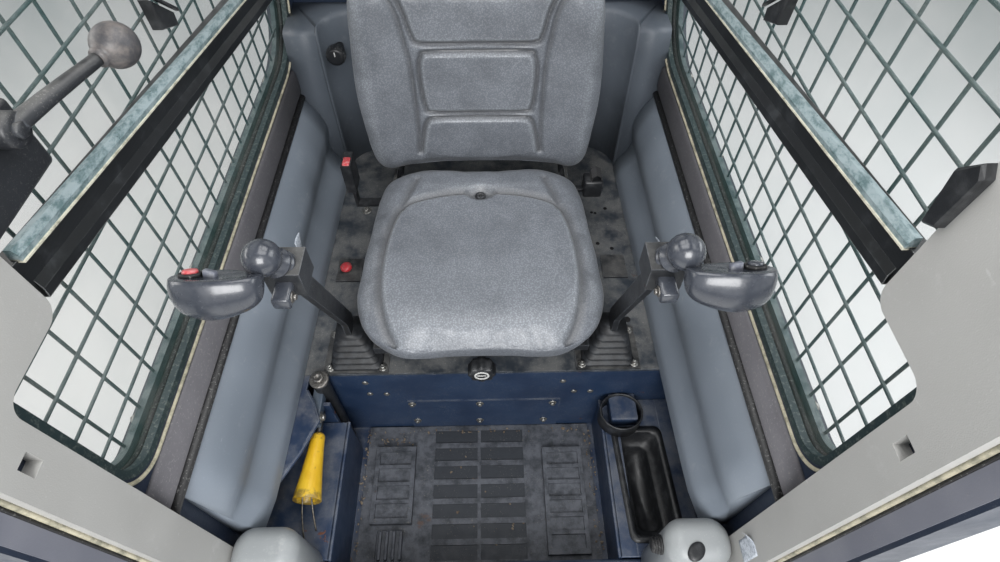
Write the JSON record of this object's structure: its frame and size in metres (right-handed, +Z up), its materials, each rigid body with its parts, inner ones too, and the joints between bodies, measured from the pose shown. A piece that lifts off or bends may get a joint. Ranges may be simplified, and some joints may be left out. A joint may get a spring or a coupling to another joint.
{
  "type": "skid steer loader operator cab",
  "caption": "Open-front operator's cab of a compact loader, with meshed side windows, sliding seat, two control sticks, footwell and an overhead restraint bar.",
  "frame": {"origin": "on the floor under the middle of the cab", "axes": "+X to the operator's left hand side, which is the picture's right, +Y to the rear of the machine, +Z up"},
  "size_m": [0.994, 1.358, 1.616],
  "materials": {
    "bare_steel": "satin",
    "black_plastic": "satin",
    "black_rail": "satin",
    "black_steel": "satin",
    "boot_rubber": "matte",
    "chassis_steel": "satin",
    "deck_steel": "satin",
    "grey_moulding": "satin",
    "grip_plastic": "satin",
    "lamp_housing": "satin",
    "mat_rubber": "matte",
    "navy_steel": "satin",
    "pale_seal": "matte",
    "pale_trim": "satin",
    "red_plastic": "satin",
    "screen_wire": "satin",
    "seat_vinyl": "satin",
    "shell_steel": "satin",
    "window_glass": "clear",
    "yellow_plastic": "satin"
  },
  "bodies": {
    "cab": {"access_cover": "navy_steel", "base_frame": "chassis_steel", "control_plates": "black_steel", "cup_tray": "black_plastic", "door_frame": "shell_steel", "floor_mat": "mat_rubber", "floor_pan": "navy_steel", "foot_blocks": "mat_rubber", "front_sill": "navy_steel", "front_trim_left": "pale_trim", "front_trim_right": "pale_trim", "hold_down_post": "black_steel", "knee_bulb_left": "pale_trim", "knee_bulb_right": "pale_trim", "knobs": "red_plastic", "lock_bracket": "navy_steel", "lock_sleeve": "yellow_plastic", "rear_frame": "shell_steel", "rear_glass": "window_glass", "rear_lining": "grey_moulding", "restraint_brackets": "black_steel", "riser_panel": "navy_steel", "roof_panel": "shell_steel", "seat_base": "black_steel", "seat_plate": "deck_steel", "side_glass_left": "window_glass", "side_glass_right": "window_glass", "side_pad_left": "grey_moulding", "side_pad_right": "grey_moulding", "side_panel_left": "shell_steel", "side_panel_right": "shell_steel", "side_screen_left": "screen_wire", "side_screen_right": "screen_wire", "stick_boot_left": "boot_rubber", "stick_boot_right": "boot_rubber", "stick_socket_left": "black_steel", "stick_socket_right": "black_steel", "throttle_lever": "black_steel", "window_rail_left": "black_rail", "window_rail_right": "black_rail", "window_seal_left": "pale_seal", "window_seal_right": "pale_seal", "work_lamps": "lamp_housing"},
    "seat": {"seat_pan": "black_steel", "seat_cushion": "seat_vinyl", "seat_knob": "black_plastic", "belt_buckle": "black_plastic"},
    "backrest": {"backrest_cushion": "seat_vinyl", "backrest_shell": "black_plastic"},
    "gimbal_left": {"stick_gimbal_left": "bare_steel"},
    "gimbal_right": {"stick_gimbal_right": "bare_steel"},
    "stick_left": {"stick_arm_left": "black_steel", "stick_grip_left": "grip_plastic"},
    "stick_right": {"stick_arm_right": "black_steel", "stick_grip_right": "grip_plastic"},
    "restraint": {"restraint_bar": "black_steel"}
  },
  "joints": [
    {"name": "seat_slide", "type": "slide", "parent": "cab", "child": "seat", "axis": [0, -1, 0], "range_m": [-0.05, 0.075]},
    {"name": "backrest_recline", "type": "hinge", "parent": "seat", "child": "backrest", "pos_m": [0, 0.297, 0.4703], "axis": [1, 0, 0], "range_deg": [-8, 15]},
    {"name": "restraint_swing", "type": "hinge", "parent": "cab", "child": "restraint", "pos_m": [0, 0.41, 1.066], "axis": [1, 0, 0], "range_deg": [0, 60]},
    {"name": "stick_left_travel", "type": "hinge", "parent": "cab", "child": "gimbal_left", "pos_m": [-0.274, -0.134, 0.388], "axis": [1, 0, 0], "range_deg": [-12, 12], "stiffness_Nm_per_rad": 60, "springref_deg": -2.29, "deforming": ["stick_boot_left"]},
    {"name": "stick_left_tilt", "type": "hinge", "parent": "gimbal_left", "child": "stick_left", "pos_m": [-0.274, -0.134, 0.388], "axis": [0, 1, 0], "range_deg": [-4, 4], "stiffness_Nm_per_rad": 60},
    {"name": "stick_right_travel", "type": "hinge", "parent": "cab", "child": "gimbal_right", "pos_m": [0.274, -0.134, 0.388], "axis": [1, 0, 0], "range_deg": [-12, 12], "stiffness_Nm_per_rad": 60, "springref_deg": -2.29, "deforming": ["stick_boot_right"]},
    {"name": "stick_right_tilt", "type": "hinge", "parent": "gimbal_right", "child": "stick_right", "pos_m": [0.274, -0.134, 0.388], "axis": [0, 1, 0], "range_deg": [-4, 4], "stiffness_Nm_per_rad": 60}
  ]
}
